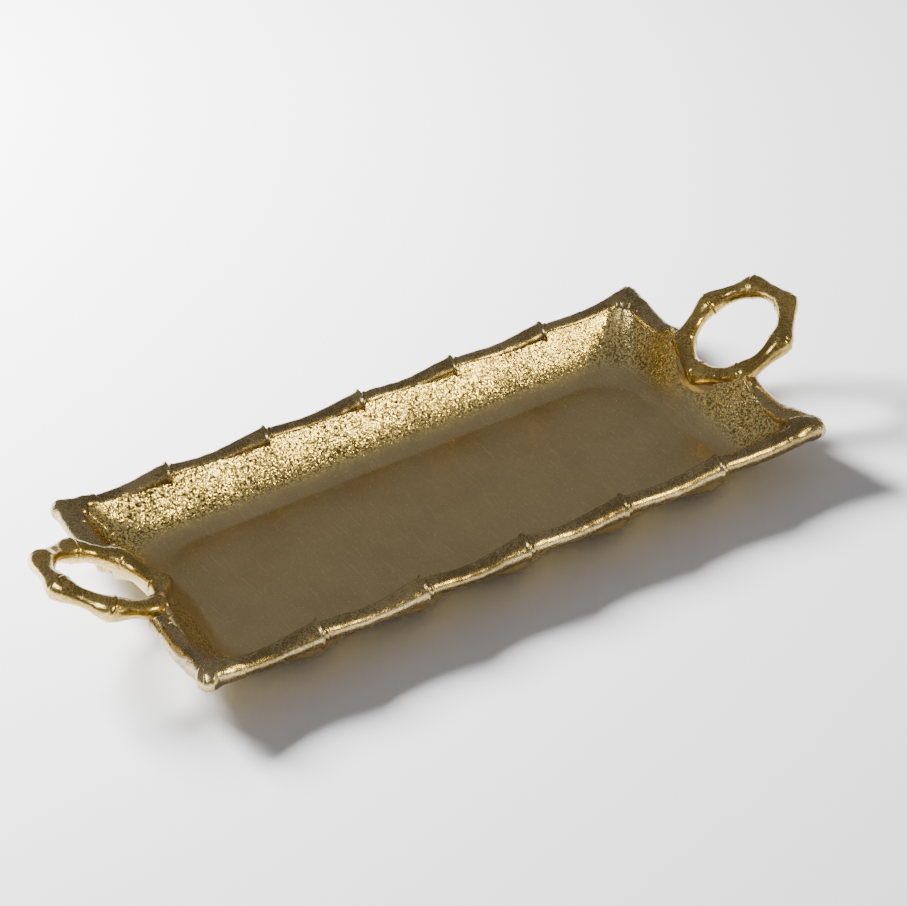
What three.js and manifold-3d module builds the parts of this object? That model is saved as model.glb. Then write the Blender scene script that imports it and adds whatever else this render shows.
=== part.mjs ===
// A rectangular cast tray. Bamboo canes run round its rim, and a bamboo ring handle crosses each end.
// Millimetres, +Z up. The origin is on the underside, in the middle of the tray.
// +X points to the right-hand handle and +Y to the far side. Right and left, near and far follow from that.

import * as THREE from 'three';
import { mergeVertices } from 'three/addons/utils/BufferGeometryUtils.js';
import Module from 'manifold-3d';

// Driving dimensions
const HALF_LENGTH = 240;      // tray centre to the centre line of an end rail
const HALF_WIDTH = 118.5;     // tray centre to the centre line of a side rail
const RAIL_HEIGHT = 36;       // underside to the centre line of the rails
const FLOOR_THICKNESS = 3.5;
const WALL_THICKNESS = 3.5;   // at the foot of the wall
const WALL_SPREAD = 44;       // rail centre line to the edge of the flat floor
const CANE_RADIUS = 7.1;      // thinnest place of a cane
const NODE_RADIUS = 8.6;      // where a cane swells towards its node ring
const GAP = 0.3;              // between touching pieces

// Rim
const SIDE_JOINTS = 6;        // bamboo joints in a side cane
const SIDE_DIP = 2.5;         // how far a side rail dips between two nodes
const END_DIP = 5;            // how far an end rail sags between its corner and the handle
const CORNER_LIFT = 2;        // how far the rails rise towards the corners
const NODE_RIDGE = 0.9;       // height of the raised ring at a node
const RIDGE_WIDTH = 3;
const CORNER_REACH = 22;      // corner centre to the end of each of its two arms
const CANE_SIDES = 12;

// Dish
const LEDGE = 8.5;            // rail centre line to the inner edge of the wall's top
const LEDGE_RISE = 5.5;       // how far the wall's top stands above the rail's centre line
const WALL_CURVE = 1.9;       // 1 is a straight wall, more is a rounder one
const WALL_STEPS = 6;
const WALL_ROOT = 6;          // rail centre line to the outside of the wall, where it leaves the cane
const WALL_ROOT_DROP = 5;     // how far below the rail's centre line that is
const CORNER_ROUND = 14;      // radius of the dish's corners at the rail
const CORNER_OPENING = 0.55;  // how much that radius grows for each millimetre in from the rail
const WALL_BULGE = 5;         // how far the outside of the wall swells below each node of a side cane
const SIDE_COLUMNS = 24;
const END_COLUMNS = 12;
const CORNER_COLUMNS = 5;

// Handles
const RING_JOINTS = 7;
const RING_CENTRE_X = 260.5;
const RING_CENTRE_RISE = 19;                         // above the rails' centre line
const RING_TILT = THREE.MathUtils.degToRad(28);      // its outer end points up
const RING_TURN = THREE.MathUtils.degToRad(30);      // first node, from straight out towards the far side
const RING_OUTSIDE = 51.5;    // handle centre to the outside of a node
const RING_INSIDE = 34.5;     // radius of the finger hole
const RING_HALF_HEIGHT = 6;
const RING_NODE_SWELL = 1.8;
const RING_STEPS = 6;         // stations along one joint of a ring
const SEAT_TOP_RADIUS = 50;    // of the seat below a ring's inner side, where it meets the ring
const SEAT_FOOT_RADIUS = 57;   // and where it meets the dish
const COLLAR_START = 35;      // tray centre line to the collar's face on the ring
const COLLAR_END = 54;        // tray centre line to the collar's face on the end cane
const COLLAR_SWELL = 2.4;

const wasm = await Module();
wasm.setup();

const hump = (fraction) => Math.sin(Math.PI * fraction) ** 2;
const mix = (from, to, fraction) => from + (to - from) * fraction;

// Distance along a side rail, counted in bamboo joints from the left-hand corner.
function jointAt(x) {
  return ((x / HALF_LENGTH + 1) / 2) * SIDE_JOINTS;
}

// Centre line of a side rail. side is -1 for the near one and 1 for the far one.
function sideRail(x, side) {
  const lift = CORNER_LIFT * (x / HALF_LENGTH) ** 6;
  return new THREE.Vector3(x, side * HALF_WIDTH, RAIL_HEIGHT + lift - SIDE_DIP * hump(jointAt(x)));
}

// Centre line of an end rail. end is -1 for the left one and 1 for the right one.
function endRail(y, end) {
  const reach = (Math.abs(y) - COLLAR_START) / (HALF_WIDTH - COLLAR_START);
  const along = THREE.MathUtils.clamp(reach, 0, 1);
  const rise = CORNER_LIFT * along ** 3 - END_DIP * hump(along);
  return new THREE.Vector3(end * HALF_LENGTH, y, RAIL_HEIGHT + rise);
}

// Cane radius at a fraction of the way from one node to the next: narrow after a node, swollen before one.
function jointRadius(fraction) {
  return CANE_RADIUS + (NODE_RADIUS - CANE_RADIUS) * fraction ** 3;
}

// A closed body with merged vertices and its faces pointing out.
function closed(geometry) {
  geometry.deleteAttribute('normal');
  geometry.deleteAttribute('uv');
  const merged = mergeVertices(geometry, 1e-3);
  const points = merged.getAttribute('position');
  const corners = [new THREE.Vector3(), new THREE.Vector3(), new THREE.Vector3()];
  const kept = [];
  let volume = 0;
  for (let i = 0; i < merged.index.count; i += 3) {
    const ids = [0, 1, 2].map((k) => merged.index.getX(i + k));
    if (new Set(ids).size < 3) continue;
    ids.forEach((id, k) => corners[k].fromBufferAttribute(points, id));
    volume += corners[0].dot(corners[1].cross(corners[2]));
    kept.push(ids);
  }
  merged.setIndex(kept.flatMap((ids) => (volume < 0 ? ids.reverse() : ids)));
  return merged;
}

function toSolid(geometry) {
  const body = closed(geometry);
  return new wasm.Manifold(new wasm.Mesh({
    numProp: 3,
    vertProperties: new Float32Array(body.getAttribute('position').array),
    triVerts: new Uint32Array(body.index.array),
  }));
}

function toGeometry(solid) {
  const { vertProperties, triVerts } = solid.getMesh();
  const geometry = new THREE.BufferGeometry();
  geometry.setAttribute('position', new THREE.BufferAttribute(vertProperties, 3));
  geometry.setIndex(new THREE.BufferAttribute(triVerts, 1));
  geometry.computeVertexNormals();
  return geometry;
}

// Moves every vertex of a geometry to place(vertex, index).
function reshape(geometry, place) {
  const points = geometry.getAttribute('position');
  for (let i = 0; i < points.count; i += 1) {
    const moved = place(new THREE.Vector3().fromBufferAttribute(points, i), i);
    points.setXYZ(i, moved.x, moved.y, moved.z);
  }
  return geometry;
}

// A turned rod along its own Y axis. stations is a list of [distance along, radius].
function turnedRod(stations, grow) {
  const first = stations[0];
  const last = stations[stations.length - 1];
  const profile = [
    new THREE.Vector2(0, first[0] - grow),
    ...stations.map(([along, radius]) => new THREE.Vector2(radius + grow, along)),
    new THREE.Vector2(0, last[0] + grow),
  ];
  profile[1].y -= grow;
  profile[profile.length - 2].y += grow;
  return new THREE.LatheGeometry(profile, CANE_SIDES);
}

// A side cane runs from corner arm to corner arm, and bends with the rail.
function sideCane(side, grow = 0) {
  const pitch = (2 * HALF_LENGTH) / SIDE_JOINTS;
  const start = -HALF_LENGTH + CORNER_REACH + GAP;
  const steps = [0.3, 0.55, 0.75, 0.9];
  const stations = [[start, jointRadius((start + HALF_LENGTH) / pitch)]];
  for (let joint = 0; joint < SIDE_JOINTS; joint += 1) {
    const from = -HALF_LENGTH + joint * pitch;
    for (const step of steps) {
      stations.push([from + step * pitch, jointRadius(step)]);
    }
    stations.push([from + pitch - RIDGE_WIDTH / 2, NODE_RADIUS]);
    stations.push([from + pitch, NODE_RADIUS + NODE_RIDGE]);
    stations.push([from + pitch + RIDGE_WIDTH / 2, CANE_RADIUS]);
  }
  const inside = stations.filter(([along]) => along >= start && along < -start);
  inside.push([-start, jointRadius(1 - CORNER_REACH / pitch)]);
  return reshape(turnedRod(inside, grow), ({ x, y, z }) => {
    const centre = sideRail(y, side);
    return centre.add(new THREE.Vector3(0, side * x, z));
  });
}

// A rod that follows an end rail from one distance off the tray's centre line to another.
function endRod(end, side, stations, grow) {
  return reshape(turnedRod(stations, grow), ({ x, y, z }) => {
    const centre = endRail(side * y, end);
    return centre.add(new THREE.Vector3(end * x, 0, z));
  });
}

function endCane(end, side, grow = 0) {
  const start = COLLAR_END + GAP;
  const finish = HALF_WIDTH - CORNER_REACH - GAP;
  const steps = [0, 0.25, 0.5, 0.75, 1];
  const stations = steps.map((step) => [mix(start, finish, step), jointRadius(step)]);
  return endRod(end, side, stations, grow);
}

// The collar swells between the end cane and the ring.
function collar(end, side, grow = 0) {
  const steps = [0, 0.2, 0.4, 0.6, 0.8, 1];
  const stations = steps.map((step) => {
    const swell = COLLAR_SWELL * Math.cos((Math.PI / 2) * step);
    return [mix(COLLAR_START, COLLAR_END, step), CANE_RADIUS + swell];
  });
  return endRod(end, side, stations, grow);
}

// A corner is two arms that swell towards a horn, whose tip points away from the tray.
function corner(end, side, grow = 0) {
  const hornRadius = NODE_RADIUS + 0.8;
  const hornShift = 1;
  const steps = [0, 0.35, 0.7, 1];
  const armRadius = (step) => mix(NODE_RADIUS, jointRadius(1 - CORNER_REACH / (HALF_WIDTH / 2)), step);
  const alongSide = turnedRod(steps.map((step) => [step * CORNER_REACH, armRadius(step)]), grow);
  const alongEnd = alongSide.clone();
  reshape(alongSide, ({ x, y, z }) => {
    const centre = sideRail(end * (HALF_LENGTH - y), side);
    return centre.add(new THREE.Vector3(0, side * x, z));
  });
  reshape(alongEnd, ({ x, y, z }) => {
    const centre = endRail(side * (HALF_WIDTH - y), end);
    return centre.add(new THREE.Vector3(end * x, 0, z));
  });
  const horn = new THREE.SphereGeometry(hornRadius + grow, CANE_SIDES, CANE_SIDES / 2);
  horn.scale(1.25, 1, 1);
  horn.rotateZ(Math.atan2(side, end));
  const height = RAIL_HEIGHT + CORNER_LIFT;
  horn.translate(end * (HALF_LENGTH + hornShift), side * (HALF_WIDTH + hornShift), height);
  return toSolid(alongSide).add(toSolid(alongEnd)).add(toSolid(horn));
}

// Directions of a ring handle: out along its tilted plane, and square to that plane.
function ringFrame(end) {
  const centre = new THREE.Vector3(end * RING_CENTRE_X, 0, RAIL_HEIGHT + RING_CENTRE_RISE);
  const out = new THREE.Vector3(end * Math.cos(RING_TILT), 0, Math.sin(RING_TILT));
  const normal = new THREE.Vector3(-end * Math.sin(RING_TILT), 0, Math.cos(RING_TILT));
  return { centre, out, normal };
}

// A ring handle has a round finger hole and an outside with a corner at each node.
function ringHandle(end, grow = 0) {
  const { centre, out, normal } = ringFrame(end);
  const jointAngle = (2 * Math.PI) / RING_JOINTS;
  const plainRadius = 2;
  const ring = new THREE.TorusGeometry(plainRadius, 1, CANE_SIDES, RING_JOINTS * RING_STEPS);
  return reshape(ring, ({ x, y, z }) => {
    const turn = Math.atan2(y, x);
    const offNode = THREE.MathUtils.euclideanModulo(turn, jointAngle) - jointAngle / 2;
    const outside = (RING_OUTSIDE * Math.cos(jointAngle / 2)) / Math.cos(offNode);
    const nearNode = Math.abs(offNode) / (jointAngle / 2);
    const halfWidth = (outside - RING_INSIDE) / 2;
    const halfHeight = RING_HALF_HEIGHT + RING_NODE_SWELL * nearNode ** 3;
    const radius = RING_INSIDE + halfWidth + (Math.hypot(x, y) - plainRadius) * (halfWidth + grow);
    const angle = turn + RING_TURN;
    return centre.clone()
      .addScaledVector(out, radius * Math.cos(angle))
      .add(new THREE.Vector3(0, radius * Math.sin(angle), 0))
      .addScaledVector(normal, z * (halfHeight + grow));
  });
}

// An upright cone frustum round a ring handle's centre, as wide as the tilted ring is seen from above.
// Its top lies in the ring's plane.
function ringColumn(end, topRadius, footRadius) {
  const { centre, out } = ringFrame(end);
  const column = new THREE.CylinderGeometry(topRadius, footRadius, 1, RING_JOINTS * RING_STEPS);
  column.rotateX(Math.PI / 2);
  return reshape(column, ({ x, y, z }) => {
    const place = new THREE.Vector3(centre.x + x * Math.abs(out.x), y, 0);
    place.z = z > 0 ? centre.z + x * end * out.z : 0;
    return place;
  });
}

// The upright space through a ring handle, which the dish's wall stays out of.
function ringHole(end) {
  const { centre, out } = ringFrame(end);
  const radius = RING_INSIDE + RING_HALF_HEIGHT / 2;
  const depth = 4 * centre.z;
  const hole = new THREE.CylinderGeometry(radius, radius, depth, RING_JOINTS * RING_STEPS);
  hole.rotateX(Math.PI / 2);
  hole.scale(Math.abs(out.x), 1, 1);
  hole.translate(centre.x, 0, 0);
  return hole;
}

// Columns round the dish, each a place on a rounded rectangle: how far along each straight, and its normal.
function dishColumns() {
  const columns = [];
  const quarters = [
    { from: [1, -1], to: [1, 1], steps: END_COLUMNS },
    { from: [1, 1], to: [-1, 1], steps: SIDE_COLUMNS },
    { from: [-1, 1], to: [-1, -1], steps: END_COLUMNS },
    { from: [-1, -1], to: [1, -1], steps: SIDE_COLUMNS },
  ];
  quarters.forEach(({ from, to, steps }, quarter) => {
    const facing = (quarter * Math.PI) / 2;
    for (let i = 0; i < steps; i += 1) {
      columns.push({ u: mix(from[0], to[0], i / steps), v: mix(from[1], to[1], i / steps), facing });
    }
    for (let i = 0; i < CORNER_COLUMNS; i += 1) {
      columns.push({ u: to[0], v: to[1], facing: facing + (i / CORNER_COLUMNS) * (Math.PI / 2) });
    }
  });
  columns.push(columns[0]);
  return columns;
}

// Half of the dish's section, from the middle of the floor over the wall to the middle of the underside.
// Each point is [distance in from the rail's centre line, height]. A filled dish is level with its rim.
function dishSection(filled) {
  const wallTop = RAIL_HEIGHT + LEDGE_RISE;
  const crowding = 1.3; // more points where the wall is steep
  const inner = [];
  const outer = [];
  for (let i = 0; i <= WALL_STEPS; i += 1) {
    const drop = (i / WALL_STEPS) ** crowding;
    const height = (1 - drop) ** WALL_CURVE;
    const foot = WALL_SPREAD - WALL_THICKNESS / 2;
    const floor = filled ? wallTop : FLOOR_THICKNESS;
    inner.unshift([mix(LEDGE, WALL_SPREAD, drop), mix(floor, wallTop, height)]);
    outer.push([mix(WALL_ROOT, foot, drop), (RAIL_HEIGHT - WALL_ROOT_DROP) * height]);
  }
  return [[HALF_WIDTH, inner[0][1]], ...inner, [0, wallTop], ...outer, [HALF_WIDTH, 0]];
}

// The section of the flat floor plate, which ends where the walls begin to rise.
function floorSection(grow = 0) {
  const edge = WALL_SPREAD - grow;
  const top = FLOOR_THICKNESS + grow;
  return [[HALF_WIDTH, top], [edge, top], [edge, -grow], [HALF_WIDTH, -grow]];
}

// A body whose section runs all round the dish's rounded rectangle.
function dishBody(section) {
  const columns = dishColumns();
  const profile = section.map(([inset, height]) => new THREE.Vector2(HALF_WIDTH - inset, height));
  const body = new THREE.LatheGeometry(profile, columns.length - 1);
  return reshape(body, (vertex, index) => {
    const { u, v, facing } = columns[Math.floor(index / profile.length)];
    const { x: reach, y: height } = profile[index % profile.length];
    if (reach === 0) return new THREE.Vector3(0, 0, height);
    const inset = HALF_WIDTH - reach;
    const round = CORNER_ROUND + inset * CORNER_OPENING;
    const x = u * (HALF_LENGTH - inset - round) + round * Math.cos(facing);
    const y = v * (HALF_WIDTH - inset - round) + round * Math.sin(facing);
    const onEnd = facing % Math.PI === 0;
    const rail = onEnd ? endRail(y, Math.sign(x)) : sideRail(x, Math.sign(y));
    const follow = (height / RAIL_HEIGHT) ** 2;
    const outside = index % profile.length > WALL_STEPS + 2;
    const nearNode = onEnd || !outside ? 0 : 1 - hump(jointAt(x));
    const bulge = WALL_BULGE * nearNode * hump(height / RAIL_HEIGHT);
    const swollen = new THREE.Vector3(Math.cos(facing), Math.sin(facing), -1).multiplyScalar(bulge);
    return new THREE.Vector3(x, y, height + (rail.z - RAIL_HEIGHT) * follow).add(swollen);
  });
}

const brass = (color, roughness) => new THREE.MeshStandardMaterial({ color, roughness, metalness: 1 });
const tray = new THREE.Group();

function addPart(name, geometry, material) {
  const mesh = new THREE.Mesh(geometry, material);
  mesh.name = name;
  tray.add(mesh);
}

const ends = [['left', -1], ['right', 1]];
const sides = [['near', -1], ['far', 1]];

let wall = toSolid(dishBody(dishSection(false)));
const filledDish = toSolid(dishBody(dishSection(true)));
for (const [endName, end] of ends) {
  const grownRing = toSolid(ringHandle(end, GAP));
  const seat = toSolid(ringColumn(end, SEAT_TOP_RADIUS, SEAT_FOOT_RADIUS)).intersect(filledDish);
  wall = wall.add(seat).subtract(toSolid(ringHole(end))).subtract(grownRing);
  addPart(`ring_handle_${endName}`, toGeometry(toSolid(ringHandle(end))), brass(0xb58f45, 0.28));
  for (const [sideName, side] of sides) {
    const place = `${endName}_${sideName}`;
    addPart(`corner_${place}`, toGeometry(corner(end, side)), brass(0xa88a50, 0.3));
    addPart(`end_cane_${place}`, toGeometry(toSolid(endCane(end, side))), brass(0xa88a50, 0.3));
    const trimmedCollar = toSolid(collar(end, side)).subtract(grownRing);
    addPart(`collar_${place}`, toGeometry(trimmedCollar), brass(0xb89a60, 0.35));
    wall = wall.subtract(corner(end, side, GAP));
    wall = wall.subtract(toSolid(endCane(end, side, GAP)));
    wall = wall.subtract(toSolid(collar(end, side, GAP)));
  }
}
for (const [sideName, side] of sides) {
  addPart(`side_cane_${sideName}`, toGeometry(toSolid(sideCane(side))), brass(0xa88a50, 0.3));
  wall = wall.subtract(toSolid(sideCane(side, GAP)));
}
wall = wall.subtract(toSolid(dishBody(floorSection(GAP))));
addPart('dish_wall', toGeometry(wall), brass(0x9c8455, 0.35));
addPart('dish_floor', toGeometry(toSolid(dishBody(floorSection()))), brass(0x8c7550, 0.4));

export default tray;
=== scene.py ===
"""A cast brass tray with a bamboo rim and two bamboo ring handles, standing on a pale floor.

Metres, +Z up, in the same frame as the CAD part. +X points to the right-hand handle and +Y to the far side.
"""

import math

import bmesh
import bpy
import numpy as np
from mathutils import Matrix, Vector


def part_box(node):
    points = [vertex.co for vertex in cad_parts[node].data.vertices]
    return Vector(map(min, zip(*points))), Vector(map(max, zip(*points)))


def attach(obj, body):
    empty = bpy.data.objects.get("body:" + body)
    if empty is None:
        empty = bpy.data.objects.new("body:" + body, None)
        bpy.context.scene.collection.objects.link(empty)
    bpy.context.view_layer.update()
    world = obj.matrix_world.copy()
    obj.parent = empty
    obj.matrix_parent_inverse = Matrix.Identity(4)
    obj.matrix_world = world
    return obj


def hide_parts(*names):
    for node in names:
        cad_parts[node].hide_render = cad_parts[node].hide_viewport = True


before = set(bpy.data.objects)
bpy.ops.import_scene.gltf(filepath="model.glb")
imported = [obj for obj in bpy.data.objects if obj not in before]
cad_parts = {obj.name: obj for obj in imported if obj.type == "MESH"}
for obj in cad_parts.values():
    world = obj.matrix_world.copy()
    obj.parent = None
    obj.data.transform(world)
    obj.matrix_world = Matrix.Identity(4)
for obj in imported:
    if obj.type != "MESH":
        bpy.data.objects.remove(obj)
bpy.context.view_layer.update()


def middle(node):
    low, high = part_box(node)
    return (low + high) / 2


# Driving dimensions. The first two come from the CAD part.
HALF_LENGTH = middle("end_cane_right_near").x
HALF_WIDTH = middle("side_cane_far").y
RAIL_HEIGHT = 0.036
CANE_RADIUS = 0.0069
NODE_RADIUS = 0.0090
SIDE_JOINTS = 6
PITCH = 2 * HALF_LENGTH / SIDE_JOINTS
SIDE_DIP = 0.0025
END_DIP = 0.005
CORNER_LIFT = 0.002
SIDE_LIFT_POWER = 6       # how late a side rail begins to rise to its corners
CORNER_REACH = 0.022
END_CANE_RADIUS = 0.0078
OVERLAP = 0.003           # how far a cane reaches into the corner or collar that it is cast to
END_SINK = 0.0005         # how much thinner it is there

# Relief across a node, as height, distance past the node and width: a ring, a groove and a second ring
NODE_RELIEF = ((0.0015, 0.0, 0.0011), (-0.0007, 0.0023, 0.0008), (0.0008, 0.0041, 0.0010))
NODE_STEP = 0.003         # length over which a cane narrows again after a node
NODE_SKEW = 0.0012        # how far a node leans along its cane

# Unevenness of the casting, broad and fine, as height and wavelength
SIDE_WAVES = ((0.0003, 0.035), (0.00012, 0.011))
END_WAVES = ((0.00035, 0.03), (0.00012, 0.009))
RING_WAVES = ((0.0004, 0.024), (0.00012, 0.008))
CORNER_WAVES = ((0.0003, 0.012),)
WAVES = 7                 # sine waves summed in one ripple
WAVE_SPREAD = (0.7, 1.5)  # shortest and longest of them, as shares of the wavelength

# Seeds of the unevenness
SIDE_SEED = 3
END_CANE_SEED = 11
COLLAR_SEED = 21
CORNER_SEED = 31
RING_SEED = 41
WALL_SEED = 51
FLOOR_SEED = 52

# Corners. Out and in are along the diagonal, from where the centre lines of the rails meet.
HORN_RADIUS = 0.0088
HORN_STRETCH = 1.2
HORN_OUT = 0.0012
WEB_RADIUS = 0.0082
WEB_IN = 0.0095
WEB_DROP = 0.0005
MITRE_RIDGE = (0.0005, 0.0006)   # height and width of the ridge along the mitre
NECK_RIDGE = (0.0004, 0.0007)    # and of the two beside it, on the horn's neck
NECK_OFFSET = 0.0055             # mitre to a neck ridge
MITRE_FADE = (-0.012, -0.004)    # places along the diagonal where the mitre's ridge begins and is full
NECK_FADE = (-0.002, 0.002)      # and the same for the neck's
WAVER = 0.0012                   # how far the mitre's ridge wanders
WAVER_RATE = 300                 # and how fast, in radians per metre
ARM_PAST = 0.002                 # how far each arm runs past the other's centre line
ARM_SINK = 0.0004                # how much thinner their ends are, inside the canes
ARM_SINK_START = 0.001           # and how far before the joint that begins
BLEND_CELL = 0.0006
BLEND_ROUNDS = 30
BLEND_SHARE = 0.5

# Dish
FLOOR_THICKNESS = 0.0035
WALL_TOP = 0.0063         # rail centre line to where the wall leaves the cane inside
WALL_TOP_HEIGHT = 0.0398
WALL_ROOT = 0.006         # the same outside
WALL_ROOT_HEIGHT = 0.031
WALL_SPREAD = 0.044
WALL_FOOT = 0.0423
WALL_CURVE = 1.9          # 1 is a straight wall, more is a rounder one
WALL_BULGE = 0.0055       # how far the outside of the wall swells below each node of a side cane
RIM_REACH = 0.0033        # how far the wall's top edge reaches into the cane
RIM_HEIGHT = 0.004
FLOOR_WAVE = 0.00012      # unevenness of the casting on the floor
WALL_WAVE = 0.0006        # and how much more there is at the top of the wall
WALL_WAVELENGTH = 0.045
FLOOR_WAVELENGTH = 0.06
GRAIN_FOOT = 0.0035       # height where the sand grain begins to show on the inside
GRAIN_FULL = 0.015        # and where it is full
SEAT_GRAIN = 0.25
UNDERSIDE_GRAIN = 0.12
CORNER_ROUND = 0.014      # radius of the dish's corners at the rail
CORNER_OPENING = 0.55     # how much that radius grows for each metre in from the rail
STRAIGHT_END = 0.01       # most that a wall's facing may turn, as a sine, on the straight part of an end
BITE_ROUNDS = 4           # rounds in which the wall's top settles inside a seat

# Ring handles
RING_JOINTS = 7
RING_CENTRE_X = 0.2605
RING_CENTRE_Z = 0.055
RING_TILT = math.radians(28)
RING_TURN = math.radians(30)   # first node, from straight out towards the far side
RING_OUTSIDE = 0.0521     # ring centre to the outside, at a node
RING_WAIST = 0.0474       # ring centre to the outside, halfway along a joint
RING_INSIDE = 0.0342
RING_HALF_HEIGHT = 0.0064
RING_NODE_SWELL = 0.0027
RING_INSIDE_SWELL = 0.0007
RING_NODE_POWER = 1.4     # 1 swells a joint evenly towards its nodes, more keeps it close to them
RING_SKEW = 0.02          # how far a node leans along its ring, in radians
RING_RELIEF = ((0.0005, 0.0, 0.0012), (-0.0003, 0.0026, 0.0010))   # as for the canes

# Seats, which the rings sit on, and collars, which join the end canes to the rings
SEAT_TOP_RADIUS = 0.0495
SEAT_FOOT_RADIUS = 0.0575
SEAT_MOUND = 0.010        # how far the dish's wall is built up round the seat
SEAT_MOUND_WIDTH = 0.018
SEAT_SPREAD = 1.1         # half the angle that the seat takes up of its ring, in radians
SEAT_HOLE = 0.0015        # how far the seat stays clear of the ring's hole
SEAT_TUCK = 0.002         # how far its edges are tucked into the ring and the wall
SEAT_PAST = 0.003         # how far it reaches past the end rail's centre line
SEAT_SINK = 0.0006        # how far its foot is sunk in the wall
SEAT_FLARE = 1.4          # 1 is a straight cone, more flares towards the foot
SEAT_LIP = 0.0015         # how far its foot flares out at the very bottom
SEAT_LIP_START = 0.8      # share of the way down where that begins
COLLAR_START = 0.035
COLLAR_END = 0.054
COLLAR_SWELL = 0.0016
COLLAR_RISE = 0.003       # how far its end rises towards the ring
COLLAR_DOME = 0.006       # length of its rounded end
COLLAR_BLUNT = 0.0005     # how far short of a point that end stops
COLLAR_BEAD = (0.0008, 0.008, 0.0016)   # height, distance from its start and width of its rolled edge

# Steps of the meshes
AROUND = 48               # points round a cane
RING_STEPS = 84           # rows of points along one joint of a ring
SIDE_COLUMNS = 480        # columns of points along a long side of the dish
END_COLUMNS = 240
CORNER_COLUMNS = 40
INNER_ROWS = 60           # rows of points down the inside of the wall
OUTER_ROWS = 40
FLOOR_ROWS = 20
UNDER_ROWS = 8
SEAT_SECTIONS = 180       # sections round a seat, and the points along each side of one
SEAT_FRONT_POINTS = 26
SEAT_BELOW_POINTS = 10
SEAT_HOLE_POINTS = 14
SEAT_TOP_POINTS = 6
BALL_ROWS = 24
BALL_COLUMNS = 36
POLE_GAP = 0.02           # angle left open round each pole of a ball, in radians
MERGE_DISTANCE = 1e-6
CELL = 0.0009             # distance between the rows of points along a cane

UP = np.array([0.0, 0.0, 1.0])
ENDS = (("left", -1), ("right", 1))
SIDES = (("near", -1), ("far", 1))


# Shape helpers

def mix(start, finish, fraction):
    return start + (finish - start) * fraction


def ease(value, start, finish):
    """0 below start, 1 above finish, and smooth between them."""
    fraction = np.clip((value - start) / (finish - start), 0, 1)
    return fraction * fraction * (3 - 2 * fraction)


def hump(fraction):
    return np.sin(np.pi * fraction) ** 2


def bell(distance, width):
    return np.exp(-((distance / width) ** 2))


def ripple(points, wavelength, seed):
    """Smooth unevenness of about -1 to 1, the same on every run."""
    chance = np.random.default_rng(seed)
    total = np.zeros(points.shape[:-1])
    for _ in range(WAVES):
        direction = chance.normal(size=3)
        direction *= 2 * np.pi / (wavelength * chance.uniform(*WAVE_SPREAD) * np.linalg.norm(direction))
        total += np.sin(points @ direction + chance.uniform(0, 2 * np.pi))
    return total / math.sqrt(WAVES)


def side_rail(x):
    """Height of a side rail's centre line."""
    joints = (x / HALF_LENGTH + 1) / 2 * SIDE_JOINTS
    return RAIL_HEIGHT + CORNER_LIFT * (x / HALF_LENGTH) ** SIDE_LIFT_POWER - SIDE_DIP * hump(joints)


def end_rail(y):
    """Height of an end rail's centre line."""
    along = np.clip((np.abs(y) - COLLAR_START) / (HALF_WIDTH - COLLAR_START), 0, 1)
    return RAIL_HEIGHT + CORNER_LIFT * along**3 - END_DIP * hump(along)


def joint_radius(fraction):
    """Radius in a bamboo joint, which is narrow just after a node and swollen just before the next."""
    return mix(CANE_RADIUS, NODE_RADIUS, fraction**3)


def relief(distance, profile):
    """Height of a raised or sunken profile, a distance past a node."""
    return sum(height * bell(distance - place, width) for height, place, width in profile)


def unevenness(points, waves, seed):
    """How far the casting's surface stands off at each point."""
    return sum(height * ripple(points, length, seed + step) for step, (height, length) in enumerate(waves))


# Mesh helpers

def grid_faces(rows, columns, first, closed_rows):
    """Four-sided faces of a grid whose columns go round, as indices that start at first."""
    steps = rows if closed_rows else rows - 1
    row, column = np.meshgrid(np.arange(steps), np.arange(columns), indexing="ij")
    below = (row + 1) % rows
    beside = (column + 1) % columns
    corners = [row * columns + column, row * columns + beside,
               below * columns + beside, below * columns + column]
    return (np.stack(corners, axis=-1).reshape(-1, 4) + first).tolist()


def make_mesh(name, grids, closed_rows=False, grain=None):
    """A closed body from grids of points, each rows by columns by 3, with its open ends filled."""
    points = []
    faces = []
    count = 0
    for grid in grids:
        rows, columns = grid.shape[:2]
        faces += grid_faces(rows, columns, count, closed_rows)
        if not closed_rows:
            last = count + (rows - 1) * columns
            faces.append(list(range(count, count + columns)))
            faces.append(list(range(last, last + columns)))
        points.append(grid.reshape(-1, 3))
        count += rows * columns
    mesh = bpy.data.meshes.new(name)
    mesh.from_pydata(np.concatenate(points).tolist(), [], faces)
    if grain is not None:
        layer = mesh.attributes.new("grain", "FLOAT", "POINT")
        layer.data.foreach_set("value", grain.reshape(-1).astype(np.float32))
    tidy_mesh(mesh)
    return mesh


def tidy_mesh(mesh):
    shell = bmesh.new()
    shell.from_mesh(mesh)
    bmesh.ops.remove_doubles(shell, verts=shell.verts, dist=MERGE_DISTANCE)
    bmesh.ops.recalc_face_normals(shell, faces=shell.faces)
    for face in shell.faces:
        face.smooth = True
    shell.to_mesh(mesh)
    shell.free()


def add_piece(name, mesh, material, nodes):
    piece = bpy.data.objects.new(name, mesh)
    bpy.context.scene.collection.objects.link(piece)
    mesh.materials.clear()
    mesh.materials.append(material)
    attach(piece, "root")
    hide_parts(*nodes)


def rod(centres, outward, radius, angle):
    """Points of a cane round its centre line. centres is rows by 3, and radius is rows by columns."""
    across = np.cos(angle)[None, :, None] * outward + np.sin(angle)[None, :, None] * UP
    return centres[:, None, :] + radius[..., None] * across


def round_angles(count):
    return np.arange(count) * 2 * np.pi / count


# Canes

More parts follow.
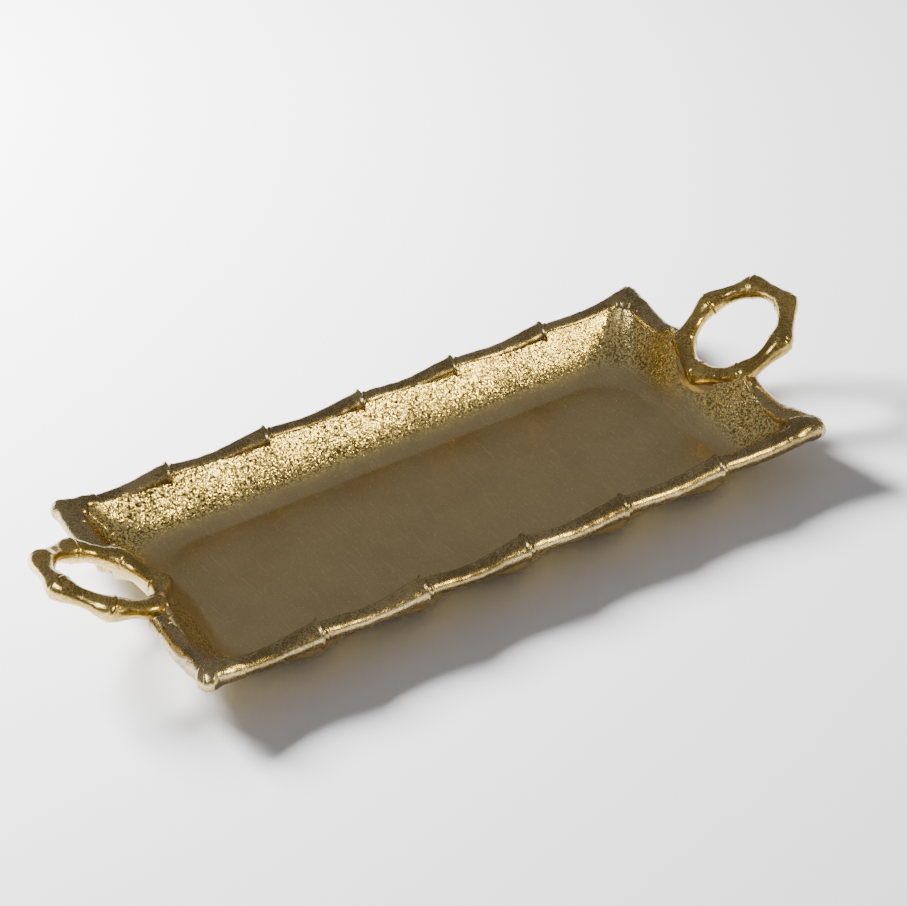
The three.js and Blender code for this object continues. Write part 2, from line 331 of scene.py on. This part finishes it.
def side_cane(side):
    reach = HALF_LENGTH - CORNER_REACH + OVERLAP
    along = np.linspace(-reach, reach, int(2 * reach / CELL))
    angle = round_angles(AROUND)
    skew = NODE_SKEW * np.sin(angle + side)[None, :]
    joints = (along[:, None] - skew + HALF_LENGTH) / PITCH
    fraction = joints % 1
    after = ((fraction + 0.5) % 1 - 0.5) * PITCH
    radius = mix(NODE_RADIUS, joint_radius(fraction), ease(fraction * PITCH, 0, NODE_STEP))
    radius += relief(after, NODE_RELIEF)
    centres = np.stack([along, np.full_like(along, side * HALF_WIDTH), side_rail(along)], axis=-1)
    outward = np.array([0.0, side, 0.0])
    radius += unevenness(rod(centres, outward, radius, angle), SIDE_WAVES, SIDE_SEED)
    radius -= END_SINK * ease(np.abs(along), reach - OVERLAP, reach)[:, None]
    return rod(centres, outward, radius, angle)


def end_rod(end, side, along, radius, seed):
    """A piece of an end rail. along is the distance off the tray's centre line."""
    angle = round_angles(AROUND)
    centres = np.stack([np.full_like(along, end * HALF_LENGTH), side * along, end_rail(along)], axis=-1)
    outward = np.array([float(end), 0.0, 0.0])
    radius = np.repeat(radius[:, None], AROUND, axis=1)
    radius = radius + unevenness(rod(centres, outward, radius, angle), END_WAVES, seed)
    return rod(centres, outward, radius, angle)


def end_cane(end, side):
    finish = HALF_WIDTH - CORNER_REACH
    along = np.arange(COLLAR_END - OVERLAP, finish + OVERLAP, CELL)
    fraction = np.clip((along - COLLAR_END) / (finish - COLLAR_END), 0, 1)
    radius = mix(END_CANE_RADIUS, NODE_RADIUS, fraction**2)
    radius -= END_SINK * ease(along, finish, finish + OVERLAP)
    radius -= END_SINK * ease(-along, -COLLAR_END, OVERLAP - COLLAR_END)
    return end_rod(end, side, along, radius, END_CANE_SEED)


def collar(end, side):
    """The end rail swells into a lump with a rolled edge where it meets the ring."""
    along = np.arange(COLLAR_START, COLLAR_END, CELL / 2)
    fraction = (along - COLLAR_START) / (COLLAR_END - COLLAR_START)
    radius = END_CANE_RADIUS + COLLAR_SWELL * np.cos(np.pi / 2 * fraction)
    radius += relief(along - COLLAR_START, [COLLAR_BEAD])
    radius *= np.sqrt(ease(along, COLLAR_START - COLLAR_BLUNT, COLLAR_START + COLLAR_DOME))
    points = end_rod(end, side, along, radius, COLLAR_SEED)
    points[:, :, 2] += COLLAR_RISE * ease(-along, -COLLAR_END, -COLLAR_START)[:, None]
    return points


# Corners

def ball(centre, radius, stretch, heading):
    """A rounded lump, longer along its heading in the ground plane."""
    polar = np.linspace(POLE_GAP, np.pi - POLE_GAP, BALL_ROWS)
    turn = round_angles(BALL_COLUMNS)
    long = radius * stretch * np.sin(polar)[:, None] * np.cos(turn)
    wide = radius * np.sin(polar)[:, None] * np.sin(turn)
    tall = np.repeat(radius * np.cos(polar)[:, None], turn.size, axis=1)
    x = long * math.cos(heading) - wide * math.sin(heading)
    y = long * math.sin(heading) + wide * math.cos(heading)
    return np.stack([x, y, tall], axis=-1) + centre


def corner_arms(end, side):
    """The two ends of the rails that meet at a corner, a little past each other."""
    steps = np.arange(-ARM_PAST, CORNER_REACH + OVERLAP, CELL)
    fraction = np.clip(steps / CORNER_REACH, 0, 1)
    sink = ARM_SINK * ease(steps, CORNER_REACH - ARM_SINK_START, CORNER_REACH + OVERLAP)
    angle = round_angles(AROUND)
    side_radius = mix(NODE_RADIUS, joint_radius(1 - CORNER_REACH / PITCH), fraction) - sink
    x = end * (HALF_LENGTH - steps)
    side_centres = np.stack([x, np.full_like(x, side * HALF_WIDTH), side_rail(x)], axis=-1)
    along = HALF_WIDTH - steps
    end_centres = np.stack([np.full_like(along, end * HALF_LENGTH), side * along, end_rail(along)], axis=-1)
    arms = (
        (side_centres, np.array([0.0, side, 0.0]), side_radius),
        (end_centres, np.array([float(end), 0.0, 0.0]), NODE_RADIUS - sink),
    )
    return [
        rod(centres, outward, np.repeat(radius[:, None], AROUND, axis=1), angle)
        for centres, outward, radius in arms
    ]


def blended(name, grids):
    """One smooth mesh from bodies that run into each other."""
    rough = bpy.data.objects.new(name, make_mesh(name, grids))
    bpy.context.scene.collection.objects.link(rough)
    blend = rough.modifiers.new("blend", "REMESH")
    blend.mode = "VOXEL"
    blend.voxel_size = BLEND_CELL
    soften = rough.modifiers.new("soften", "SMOOTH")
    soften.factor = BLEND_SHARE
    soften.iterations = BLEND_ROUNDS
    mesh = bpy.data.meshes.new_from_object(rough.evaluated_get(bpy.context.evaluated_depsgraph_get()))
    bpy.data.objects.remove(rough)
    return mesh


def corner(end, side, name):
    """Two arms that swell into a rounded horn, with a fine mould ridge across the mitre."""
    heading = math.atan2(side, end)
    place = np.array([end * HALF_LENGTH, side * HALF_WIDTH, RAIL_HEIGHT + CORNER_LIFT])
    outward = np.array([end, side, 0.0]) / math.sqrt(2)
    horn = ball(place + HORN_OUT * outward, HORN_RADIUS, HORN_STRETCH, heading)
    web = ball(place - WEB_IN * outward - WEB_DROP * UP, WEB_RADIUS, 1.0, heading)
    mesh = blended(name, [*corner_arms(end, side), horn, web])
    raise_mitre(mesh, place, outward)
    return mesh


def raise_mitre(mesh, place, outward):
    """Fine ridges over the corner, along the mitre and beside it on the horn's neck."""
    across = np.array([-outward[1], outward[0], 0.0])
    points = np.empty(len(mesh.vertices) * 3)
    mesh.vertices.foreach_get("co", points)
    points = points.reshape(-1, 3)
    normals = np.array([vertex.normal for vertex in mesh.vertices])
    offset = points - place
    off_mitre = offset @ across
    ahead = offset @ outward
    waver = WAVER * np.sin(ahead * WAVER_RATE)
    height, width = MITRE_RIDGE
    lift = height * bell(off_mitre + waver, width) * ease(ahead, *MITRE_FADE)
    height, width = NECK_RIDGE
    lift += height * bell(np.abs(off_mitre) - NECK_OFFSET, width) * ease(ahead, *NECK_FADE)
    lift += unevenness(points, CORNER_WAVES, CORNER_SEED)
    points += normals * lift[:, None]
    mesh.vertices.foreach_set("co", points.reshape(-1))
    tidy_mesh(mesh)


# Ring handles

def ring_handle(end):
    turn = round_angles(RING_JOINTS * RING_STEPS)[:, None]
    angle = round_angles(AROUND)[None, :]
    joint = 2 * np.pi / RING_JOINTS
    skew = RING_SKEW * np.sin(angle)
    place = (turn + skew) % joint
    off_middle = place - joint / 2
    near_node = (1 - hump(place / joint)) ** RING_NODE_POWER
    outside = RING_WAIST + (RING_OUTSIDE - RING_WAIST) * near_node
    inside = RING_INSIDE - RING_INSIDE_SWELL * near_node
    half_width = (outside - inside) / 2
    half_height = RING_HALF_HEIGHT + RING_NODE_SWELL * near_node
    after = np.where(off_middle < 0, place, place - joint) * RING_OUTSIDE
    swell = relief(after, RING_RELIEF)
    radial = inside + half_width + (half_width + swell) * np.cos(angle)
    rise = (half_height + swell) * np.sin(angle)
    facing = turn + RING_TURN
    return ring_points(end, radial, rise, facing)


def ring_points(end, radial, rise, facing):
    """Points given in the tilted plane of a ring handle."""
    radial, rise, facing = np.broadcast_arrays(radial, rise, facing)
    out = np.array([end * math.cos(RING_TILT), 0, math.sin(RING_TILT)])
    normal = np.array([-end * math.sin(RING_TILT), 0, math.cos(RING_TILT)])
    centre = np.array([end * RING_CENTRE_X, 0, RING_CENTRE_Z])
    points = centre + (radial * np.cos(facing))[..., None] * out + rise[..., None] * normal
    points[..., 1] += radial * np.sin(facing)
    return points + unevenness(points, RING_WAVES, RING_SEED)[..., None] * normal


# Dish

def inner_height(inset):
    """Height of the dish's inside at a distance in from the rail's centre line."""
    drop = np.clip((inset - WALL_TOP) / (WALL_SPREAD - WALL_TOP), 0, 1)
    return mix(FLOOR_THICKNESS, WALL_TOP_HEIGHT, (1 - drop) ** WALL_CURVE)


def outer_height(inset):
    drop = np.clip((inset - WALL_ROOT) / (WALL_FOOT - WALL_ROOT), 0, 1)
    return WALL_ROOT_HEIGHT * (1 - drop) ** WALL_CURVE


def middle_height(inset):
    """Height halfway through the thickness of the wall."""
    return (inner_height(inset) + outer_height(inset)) / 2


def dish_columns():
    """Places round the dish: how far along each straight side, and the way the wall faces."""
    turns = (
        ((1, -1), (1, 1), END_COLUMNS),
        ((1, 1), (-1, 1), SIDE_COLUMNS),
        ((-1, 1), (-1, -1), END_COLUMNS),
        ((-1, -1), (1, -1), SIDE_COLUMNS),
    )
    along = []
    for quarter, (start, finish, count) in enumerate(turns):
        facing = quarter * np.pi / 2
        for step in range(count):
            fraction = step / count
            along.append((mix(start[0], finish[0], fraction), mix(start[1], finish[1], fraction), facing))
        for step in range(CORNER_COLUMNS):
            along.append((finish[0], finish[1], facing + step / CORNER_COLUMNS * np.pi / 2))
    return np.array(along).T


def dish_outline(inset, u, v, facing):
    """Points of the rounded rectangle that lies inset from the rails' centre line."""
    bend = CORNER_ROUND + CORNER_OPENING * inset
    x = u * (HALF_LENGTH - inset - bend) + bend * np.cos(facing)
    y = v * (HALF_WIDTH - inset - bend) + bend * np.sin(facing)
    return x, y


def ring_bite(u, v, facing):
    """How far in from the rail the wall has to stop, to end inside the seat of a ring handle."""
    radius = (RING_INSIDE + SEAT_TOP_RADIUS) / 2
    on_end = np.abs(np.sin(facing)) < STRAIGHT_END
    inset = np.full_like(u, WALL_TOP)
    for _ in range(BITE_ROUNDS):
        y = dish_outline(inset, u, v, facing)[1]
        reach = np.sqrt(np.clip(radius**2 - y**2, 0, None)) * math.cos(RING_TILT)
        bite = HALF_LENGTH - RING_CENTRE_X + reach
        inset = np.maximum(WALL_TOP, bite * on_end)
    return inset


def follow_rail(x, y, z, facing):
    """The dish rises and dips with its rim, less and less towards the floor."""
    on_end = np.abs(np.sin(facing)) < np.abs(np.cos(facing))
    rail = np.where(on_end, end_rail(y), side_rail(x))
    return z + (rail - RAIL_HEIGHT) * (z / RAIL_HEIGHT) ** 2


def seat_mound(x, y):
    """How far the inside of the wall is built up at a place, near the seat of a ring handle."""
    off_centre = np.hypot((RING_CENTRE_X - np.abs(x)) / math.cos(RING_TILT), y)
    return SEAT_MOUND * bell(off_centre - SEAT_TOP_RADIUS, SEAT_MOUND_WIDTH)


def dish_row(columns, inset, height, bulge=0.0, mound=0.0):
    """A line of points round the dish. bulge swells it below the nodes, mound builds it up at the seats."""
    x, y = dish_outline(inset, *columns)
    facing = columns[2]
    near_node = (1 - hump((x / HALF_LENGTH + 1) / 2 * SIDE_JOINTS)) * np.abs(np.sin(facing))
    swell = bulge * near_node * hump(height / RAIL_HEIGHT)
    z = follow_rail(x, y, height, facing) - swell
    place = np.stack([x + swell * np.cos(facing), y + swell * np.sin(facing), z], axis=-1)
    uneven = FLOOR_WAVE + WALL_WAVE * height / RAIL_HEIGHT
    place[:, 2] += uneven * ripple(place, WALL_WAVELENGTH, WALL_SEED) * (height > FLOOR_THICKNESS / 2)
    place[:, 2] += mound * seat_mound(place[:, 0], place[:, 1])
    return place


def dish():
    """The dish as one closed shell, and how grainy each of its points is."""
    columns = dish_columns()
    top = ring_bite(*columns)
    root = np.maximum(top, WALL_ROOT)
    level = np.zeros_like(top)
    rows = []
    grain = []
    for step in np.linspace(1, 0, INNER_ROWS):
        inset = mix(top, WALL_SPREAD, step)
        height = inner_height(inset)
        rows.append(dish_row(columns, inset, height, mound=1.0))
        grain.append(ease(height, GRAIN_FOOT, GRAIN_FULL))
    for half in (RIM_HEIGHT / 2, -RIM_HEIGHT / 2):
        height = middle_height(root) + half
        rows.append(dish_row(columns, top - RIM_REACH, height, mound=1.0))
        grain.append(level)
    for step in np.linspace(0, 1, OUTER_ROWS):
        inset = mix(root, WALL_FOOT, step)
        rows.append(dish_row(columns, inset, outer_height(inset), bulge=WALL_BULGE))
        grain.append(level + UNDERSIDE_GRAIN)
    spine = np.stack([columns[0] * (HALF_LENGTH - HALF_WIDTH), level, level], axis=-1)
    floor = [mix(spine + FLOOR_THICKNESS * UP, rows[0], step) for step in np.linspace(0, 1, FLOOR_ROWS)[:-1]]
    under = [mix(rows[-1] * [1, 1, 0], spine, step) for step in np.linspace(0, 1, UNDER_ROWS)]
    for place in floor:
        place[:, 2] += FLOOR_WAVE * ripple(place, FLOOR_WAVELENGTH, FLOOR_SEED)
    points = np.array(floor + rows + under)
    grain = [level] * len(floor) + grain + [level + UNDERSIDE_GRAIN] * len(under)
    return points, np.array(grain)


def seat(end):
    """The block below a ring's inner side, which flares down to the dish's wall."""
    angle = np.linspace(-SEAT_SPREAD, SEAT_SPREAD, SEAT_SECTIONS)[:, None]

    def stretch(radius, low_side, share):
        """A run of the section: low_side says what its lower end follows, and share is 1 at the ring."""
        radius = radius[None, :] + 0 * angle
        x = np.minimum(RING_CENTRE_X - math.cos(RING_TILT) * radius * np.cos(angle), HALF_LENGTH + SEAT_PAST)
        y = radius * np.sin(angle)
        ring = RING_CENTRE_Z + (x - RING_CENTRE_X) * math.tan(RING_TILT) - SEAT_TUCK
        foot = follow_rail(x, y, low_side(HALF_LENGTH - x), 0 * x)
        foot = foot + seat_mound(x, y) * (low_side is inner_height)
        return np.stack([end * x, y, mix(foot, ring, share)], axis=-1)

    down = np.linspace(0, 1, SEAT_FRONT_POINTS)
    lip = SEAT_LIP * ease(down, SEAT_LIP_START, 1)
    flare = mix(SEAT_TOP_RADIUS, SEAT_FOOT_RADIUS, down**SEAT_FLARE) + lip
    face = stretch(flare, inner_height, 1 - down)
    face[:, :, 2] = mix(face[:, :1, 2], face[:, -1:, 2] - SEAT_SINK, down)
    hole_radius = RING_INSIDE + SEAT_HOLE
    below_edges = (SEAT_FOOT_RADIUS - SEAT_TUCK, hole_radius + SEAT_PAST)
    top_edges = (hole_radius + SEAT_TUCK, SEAT_TOP_RADIUS - SEAT_TUCK)
    below = stretch(np.linspace(*below_edges, SEAT_BELOW_POINTS), middle_height, 0)
    rise = np.linspace(0, 1, SEAT_HOLE_POINTS)
    hole = stretch(np.full_like(rise, hole_radius), outer_height, rise)
    top = stretch(np.linspace(*top_edges, SEAT_TOP_POINTS), outer_height, 1)
    return np.concatenate([face, below, hole, top], axis=1)


# Materials

CANE_SAND = 1300.0        # sand cells per metre on the canes and rings
DISH_SAND = 1050.0        # and in the dish
GRAIN_DEPTH = 0.0003
GRAIN_SCATTER = 0.55      # how far patches and single cells move the grain's edge
GRAIN_HOLD = 0.5          # and how far that edge is held back
ROUGHNESS_RANGE = 0.16
SCRATCH_POLISH = 0.08     # how much smoother a scratch is
SAND_POLISH = 0.10        # and a sand cell
SAND_TILT = 0.30          # how far the sand cells tilt
SPECK_TILT = 0.5
MARK_SHARE = 0.38         # how much of their own colour scratches and specks show
FLOOR_DARK = (0.53, 0.415, 0.205)
FLOOR_LIGHT = (0.58, 0.46, 0.23)
PALER = 1.03              # how much paler the patches of the studio floor's paint are
MARK_COLOUR = (0.95, 0.80, 0.50)
# The sand's colours: a dark tone that is partly the grain's pits and partly painted shade, and a bright tone
# that is a painted glint.
SAND_PIT_AND_SHADE = (0.22, 0.155, 0.05)
SAND_PAINTED_GLINT = (1.0, 0.80, 0.32)


def shader(name):
    material = bpy.data.materials.new(name)
    material.use_nodes = True
    nodes = material.node_tree.nodes
    return material, nodes, material.node_tree.links, nodes["Principled BSDF"]


def socket(node, key, value):
    node.inputs[key].default_value = value


def noise_node(nodes, links, coordinates, scale, detail, roughness):
    node = nodes.new("ShaderNodeTexNoise")
    socket(node, "Scale", scale)
    socket(node, "Detail", detail)
    socket(node, "Roughness", roughness)
    links.new(coordinates, node.inputs["Vector"])
    return node.outputs["Fac"]


def ranged(nodes, links, value, low, high, to_low=0.0, to_high=1.0):
    """A smooth ramp from to_low, where value is low, to to_high."""
    node = nodes.new("ShaderNodeMapRange")
    node.interpolation_type = "SMOOTHSTEP"
    links.new(value, node.inputs["Value"])
    for key, number in (("From Min", low), ("From Max", high), ("To Min", to_low), ("To Max", to_high)):
        socket(node, key, number)
    return node.outputs["Result"]


def math_node(nodes, links, operation, first, second):
    node = nodes.new("ShaderNodeMath")
    node.operation = operation
    for index, value in enumerate((first, second)):
        if isinstance(value, (int, float)):
            node.inputs[index].default_value = value
        else:
            links.new(value, node.inputs[index])
    return node.outputs[0]


def mixed_colour(nodes, links, amount, first, second):
    node = nodes.new("ShaderNodeMix")
    node.data_type = "RGBA"
    links.new(amount, node.inputs["Factor"])
    for key, value in (("A", first), ("B", second)):
        target = [s for s in node.inputs if s.name == key and s.type == "RGBA"][0]
        if isinstance(value, tuple):
            target.default_value = (*value, 1.0)
        else:
            links.new(value, target)
    return [s for s in node.outputs if s.type == "RGBA"][0]


def sand_cells(nodes, links, coordinates, scale):
    """A random colour in each tiny cell, the size of a grain of casting sand."""
    cells = nodes.new("ShaderNodeTexVoronoi")
    socket(cells, "Scale", scale)
    links.new(coordinates, cells.inputs["Vector"])
    return cells.outputs["Color"]


def red_part(nodes, links, colour):
    parts = nodes.new("ShaderNodeSeparateColor")
    links.new(colour, parts.inputs["Color"])
    return parts.outputs["Red"]


def flake_normal(nodes, links, cells, strength):
    """Tilts the surface a different way in each sand cell."""
    centred = nodes.new("ShaderNodeVectorMath")
    centred.operation = "SUBTRACT"
    links.new(cells, centred.inputs[0])
    centred.inputs[1].default_value = (0.5, 0.5, 0.5)
    scaled = nodes.new("ShaderNodeVectorMath")
    scaled.operation = "SCALE"
    links.new(centred.outputs[0], scaled.inputs[0])
    links.new(strength, scaled.inputs["Scale"])
    geometry = nodes.new("ShaderNodeNewGeometry")
    tilted = nodes.new("ShaderNodeVectorMath")
    tilted.operation = "ADD"
    links.new(geometry.outputs["Normal"], tilted.inputs[0])
    links.new(scaled.outputs[0], tilted.inputs[1])
    unit = nodes.new("ShaderNodeVectorMath")
    unit.operation = "NORMALIZE"
    links.new(tilted.outputs[0], unit.inputs[0])
    return unit.outputs[0]


def bump(nodes, links, height, normal, strength, distance):
    node = nodes.new("ShaderNodeBump")
    socket(node, "Strength", strength)
    socket(node, "Distance", distance)
    links.new(height, node.inputs["Height"])
    links.new(normal, node.inputs["Normal"])
    return node.outputs["Normal"]


def scratches(nodes, links, coordinates, turn, stretch):
    """Fine hairlines that run one way, 1 on a line and 0 between. turn is in degrees."""
    mapping = nodes.new("ShaderNodeMapping")
    links.new(coordinates, mapping.inputs["Vector"])
    socket(mapping, "Rotation", (0.0, 0.0, math.radians(turn)))
    socket(mapping, "Scale", (stretch, 3.0, 1.0))
    lines = noise_node(nodes, links, mapping.outputs["Vector"], scale=9.0, detail=3.0, roughness=0.6)
    return ranged(nodes, links, lines, low=0.62, high=0.68)


def cast_brass(name, dark, light, polish, grain, flake):
    """Cast brass. polish is its lowest roughness, grain how deep its pits are, flake its cells' tilt."""
    material, nodes, links, surface = shader(name)
    coordinates = nodes.new("ShaderNodeTexCoord").outputs["Object"]
    patches = noise_node(nodes, links, coordinates, scale=28.0, detail=4.0, roughness=0.6)
    fine = noise_node(nodes, links, coordinates, scale=900.0, detail=3.0, roughness=0.6)
    pits = noise_node(nodes, links, coordinates, scale=1600.0, detail=2.0, roughness=0.6)
    swell = noise_node(nodes, links, coordinates, scale=160.0, detail=3.0, roughness=0.5)
    cells = sand_cells(nodes, links, coordinates, CANE_SAND)
    chance = red_part(nodes, links, cells)
    speckle = ranged(nodes, links, chance, low=0.2, high=0.9, to_low=-0.12, to_high=0.12)
    tone = ranged(nodes, links, math_node(nodes, links, "ADD", patches, speckle), low=0.35, high=0.65)
    links.new(mixed_colour(nodes, links, tone, dark, light), surface.inputs["Base Color"])
    roughness = ranged(
        nodes, links, fine, low=0.2, high=0.8, to_low=polish, to_high=polish + ROUGHNESS_RANGE
    )
    links.new(roughness, surface.inputs["Roughness"])
    socket(surface, "Metallic", 1.0)
    rough_patch = ranged(nodes, links, patches, low=0.44, high=0.60)
    tilt = math_node(nodes, links, "MULTIPLY", rough_patch, flake)
    normal = flake_normal(nodes, links, cells, tilt)
    normal = bump(nodes, links, swell, normal, strength=0.08, distance=0.0006)
    normal = bump(nodes, links, pits, normal, strength=grain, distance=GRAIN_DEPTH)
    links.new(normal, surface.inputs["Normal"])
    return material


def thinned_grain(nodes, links, patches, chance):
    """The dish's grain attribute, which breaks up into single cells where it thins out."""
    attribute = nodes.new("ShaderNodeAttribute")
    attribute.attribute_name = "grain"
    grain = attribute.outputs["Fac"]
    scattered = math_node(nodes, links, "ADD", patches, chance)
    scattered = math_node(nodes, links, "MULTIPLY", scattered, GRAIN_SCATTER)
    edge = math_node(nodes, links, "SUBTRACT", math_node(nodes, links, "ADD", grain, scattered), GRAIN_HOLD)
    return math_node(nodes, links, "MULTIPLY", ranged(nodes, links, edge, low=0.3, high=0.7), grain)


def dish_brass():
    """Satin inside the floor, with hairline scratches, and a sand-cast grain up the walls that sparkles,
    partly through glints and shade painted into its colour.
    """
    material, nodes, links, surface = shader("dish brass")
    coordinates = nodes.new("ShaderNodeTexCoord").outputs["Object"]
    patches = noise_node(nodes, links, coordinates, scale=22.0, detail=4.0, roughness=0.6)
    dots = noise_node(nodes, links, coordinates, scale=650.0, detail=2.0, roughness=0.5)
    cloud = noise_node(nodes, links, coordinates, scale=90.0, detail=5.0, roughness=0.65)
    sand = noise_node(nodes, links, coordinates, scale=1300.0, detail=2.0, roughness=0.5)
    cells = sand_cells(nodes, links, coordinates, DISH_SAND)
    chance = red_part(nodes, links, cells)
    grain = thinned_grain(nodes, links, patches, chance)
    specks = ranged(nodes, links, dots, low=0.63, high=0.68)
    crossing = [
        scratches(nodes, links, coordinates, turn=25, stretch=150),
        scratches(nodes, links, coordinates, turn=-62, stretch=170),
    ]
    hairlines = math_node(nodes, links, "MAXIMUM", *crossing)

    tone = ranged(nodes, links, patches, low=0.3, high=0.7)
    floor = mixed_colour(nodes, links, tone, FLOOR_DARK, FLOOR_LIGHT)
    marks = math_node(nodes, links, "MAXIMUM", hairlines, specks)
    marks = math_node(nodes, links, "MULTIPLY", marks, MARK_SHARE)
    floor = mixed_colour(nodes, links, marks, floor, MARK_COLOUR)
    # Painted glints and shade: each sand cell's colour is mixed between a dark, shaded tone and a bright
    # glint, as if some cells caught the light and others did not.
    painted_glint_share = ranged(nodes, links, chance, low=0.15, high=0.75)
    sand_and_painted_glint = mixed_colour(nodes, links, painted_glint_share, SAND_PIT_AND_SHADE, SAND_PAINTED_GLINT)
    links.new(mixed_colour(nodes, links, grain, floor, sand_and_painted_glint), surface.inputs["Base Color"])

    satin = ranged(nodes, links, cloud, low=0.3, high=0.7, to_low=0.30, to_high=0.36)
    smoothed = math_node(nodes, links, "MULTIPLY", hairlines, SCRATCH_POLISH)
    worn = math_node(nodes, links, "SUBTRACT", satin, smoothed)
    facet = math_node(nodes, links, "MULTIPLY", grain, SAND_POLISH)
    links.new(math_node(nodes, links, "SUBTRACT", worn, facet), surface.inputs["Roughness"])
    socket(surface, "Metallic", 1.0)

    flecks = math_node(nodes, links, "MULTIPLY", specks, SPECK_TILT)
    tilt = math_node(nodes, links, "MAXIMUM", math_node(nodes, links, "MULTIPLY", grain, SAND_TILT), flecks)
    normal = flake_normal(nodes, links, cells, tilt)
    centred = math_node(nodes, links, "SUBTRACT", sand, 0.5)
    height = math_node(nodes, links, "MULTIPLY", centred, grain)
    normal = bump(nodes, links, height, normal, strength=0.5, distance=GRAIN_DEPTH)
    normal = bump(nodes, links, hairlines, normal, strength=0.12, distance=0.0002)
    links.new(normal, surface.inputs["Normal"])
    return material


def plain(name, colour, roughness):
    """A matt painted surface for the floor, with patches that are a little paler."""
    material, nodes, links, surface = shader(name)
    coordinates = nodes.new("ShaderNodeTexCoord").outputs["Object"]
    patches = noise_node(nodes, links, coordinates, scale=3.0, detail=5.0, roughness=0.6)
    lighter = tuple(min(1.0, part * PALER) for part in colour)
    links.new(mixed_colour(nodes, links, patches, colour, lighter), surface.inputs["Base Color"])
    socket(surface, "Roughness", roughness)
    return material


# The tray

cane_brass = cast_brass(
    "cane brass", dark=(0.27, 0.20, 0.085), light=(0.58, 0.45, 0.215), polish=0.15, grain=0.34, flake=0.10
)
ring_brass = cast_brass(
    "ring brass", dark=(0.34, 0.24, 0.065), light=(0.70, 0.51, 0.165), polish=0.11, grain=0.25, flake=0.07
)
pan_brass = dish_brass()

dish_points, dish_grain = dish()
seats = [seat(end) for _, end in ENDS]
seat_grain = [np.full(points.shape[:2], SEAT_GRAIN) for points in seats]
all_grain = np.concatenate([dish_grain.reshape(-1)] + [values.reshape(-1) for values in seat_grain])
pan_mesh = make_mesh("pan_cast", [dish_points] + seats, grain=all_grain)
add_piece("pan_cast", pan_mesh, pan_brass, ["dish_floor", "dish_wall"])

for side_name, side in SIDES:
    cane_mesh = make_mesh(f"side_cane_{side_name}_cast", [side_cane(side)])
    add_piece(f"side_cane_{side_name}_cast", cane_mesh, cane_brass, [f"side_cane_{side_name}"])

for end_name, end in ENDS:
    ring_mesh = make_mesh(f"ring_{end_name}_cast", [ring_handle(end)], closed_rows=True)
    add_piece(f"ring_{end_name}_cast", ring_mesh, ring_brass, [f"ring_handle_{end_name}"])
    for side_name, side in SIDES:
        place = f"{end_name}_{side_name}"
        cane_mesh = make_mesh(f"end_cane_{place}_cast", [end_cane(end, side)])
        add_piece(f"end_cane_{place}_cast", cane_mesh, cane_brass, [f"end_cane_{place}"])
        collar_mesh = make_mesh(f"collar_{place}_cast", [collar(end, side)])
        add_piece(f"collar_{place}_cast", collar_mesh, cane_brass, [f"collar_{place}"])
        corner_mesh = corner(end, side, f"corner_{place}_cast")
        add_piece(f"corner_{place}_cast", corner_mesh, cane_brass, [f"corner_{place}"])


# The studio

def area_light(name, place, aim, width, height, power, colour):
    light = bpy.data.lights.new(name, "AREA")
    light.shape = "RECTANGLE"
    light.size = width
    light.size_y = height
    light.energy = power
    light.color = colour
    lamp = bpy.data.objects.new(name, light)
    bpy.context.scene.collection.objects.link(lamp)
    lamp.location = place
    lamp.rotation_euler = (Vector(aim) - Vector(place)).to_track_quat("-Z", "Y").to_euler()
    return lamp


def add_floor():
    shell = bmesh.new()
    bmesh.ops.create_grid(shell, x_segments=4, y_segments=4, size=6.0)
    mesh = bpy.data.meshes.new("floor")
    shell.to_mesh(mesh)
    shell.free()
    mesh.materials.append(plain("floor paint", colour=(0.86, 0.865, 0.88), roughness=0.6))
    floor = bpy.data.objects.new("floor", mesh)
    bpy.context.scene.collection.objects.link(floor)


def add_camera():
    """A long lens above the near left corner, tipped a little clockwise."""
    place = (-0.7053, -1.4085, 1.0718)
    heading = math.radians(27.03)
    fall = math.radians(32.95)
    roll = math.radians(5.99)
    view = Vector((math.sin(heading) * math.cos(fall), math.cos(heading) * math.cos(fall), -math.sin(fall)))
    level = view.cross(Vector(UP)).normalized()
    rise = level.cross(view)
    up = rise * math.cos(roll) + level * math.sin(roll)
    right = view.cross(up)
    camera = bpy.data.cameras.new("camera")
    camera.sensor_width = 36.0
    camera.lens = 104.45
    camera.clip_end = 50.0
    holder = bpy.data.objects.new("camera", camera)
    bpy.context.scene.collection.objects.link(holder)
    turn = Matrix((right, up, -view)).transposed().to_4x4()
    holder.matrix_world = Matrix.Translation(place) @ turn
    bpy.context.scene.camera = holder


def add_world():
    world = bpy.data.worlds.new("studio")
    world.use_nodes = True
    background = world.node_tree.nodes["Background"]
    socket(background, "Color", (0.98, 0.96, 1.0, 1.0))
    socket(background, "Strength", 0.27)
    bpy.context.scene.world = world


add_floor()
add_camera()
add_world()
centre = (0.0, 0.0, 0.0)
# The key light lights the floor and casts the shadow. The other two show only as reflections in the brass.
key = area_light(
    "key", place=(-0.6, 1.3, 1.0), aim=centre, width=0.6, height=0.6,
    power=225.0, colour=(1.0, 0.99, 0.98),
)
key.visible_glossy = False
front_light = area_light(
    "front", place=(1.34, -1.85, 1.0), aim=(0.0, 0.0, 0.03), width=0.25, height=0.42,
    power=38.0, colour=(1.0, 0.84, 0.36),
)
front_light.visible_diffuse = False
side_light = area_light(
    "side", place=(-1.7, -0.75, 1.6), aim=centre, width=0.5, height=0.6,
    power=22.0, colour=(1.0, 0.98, 0.95),
)
side_light.visible_diffuse = False
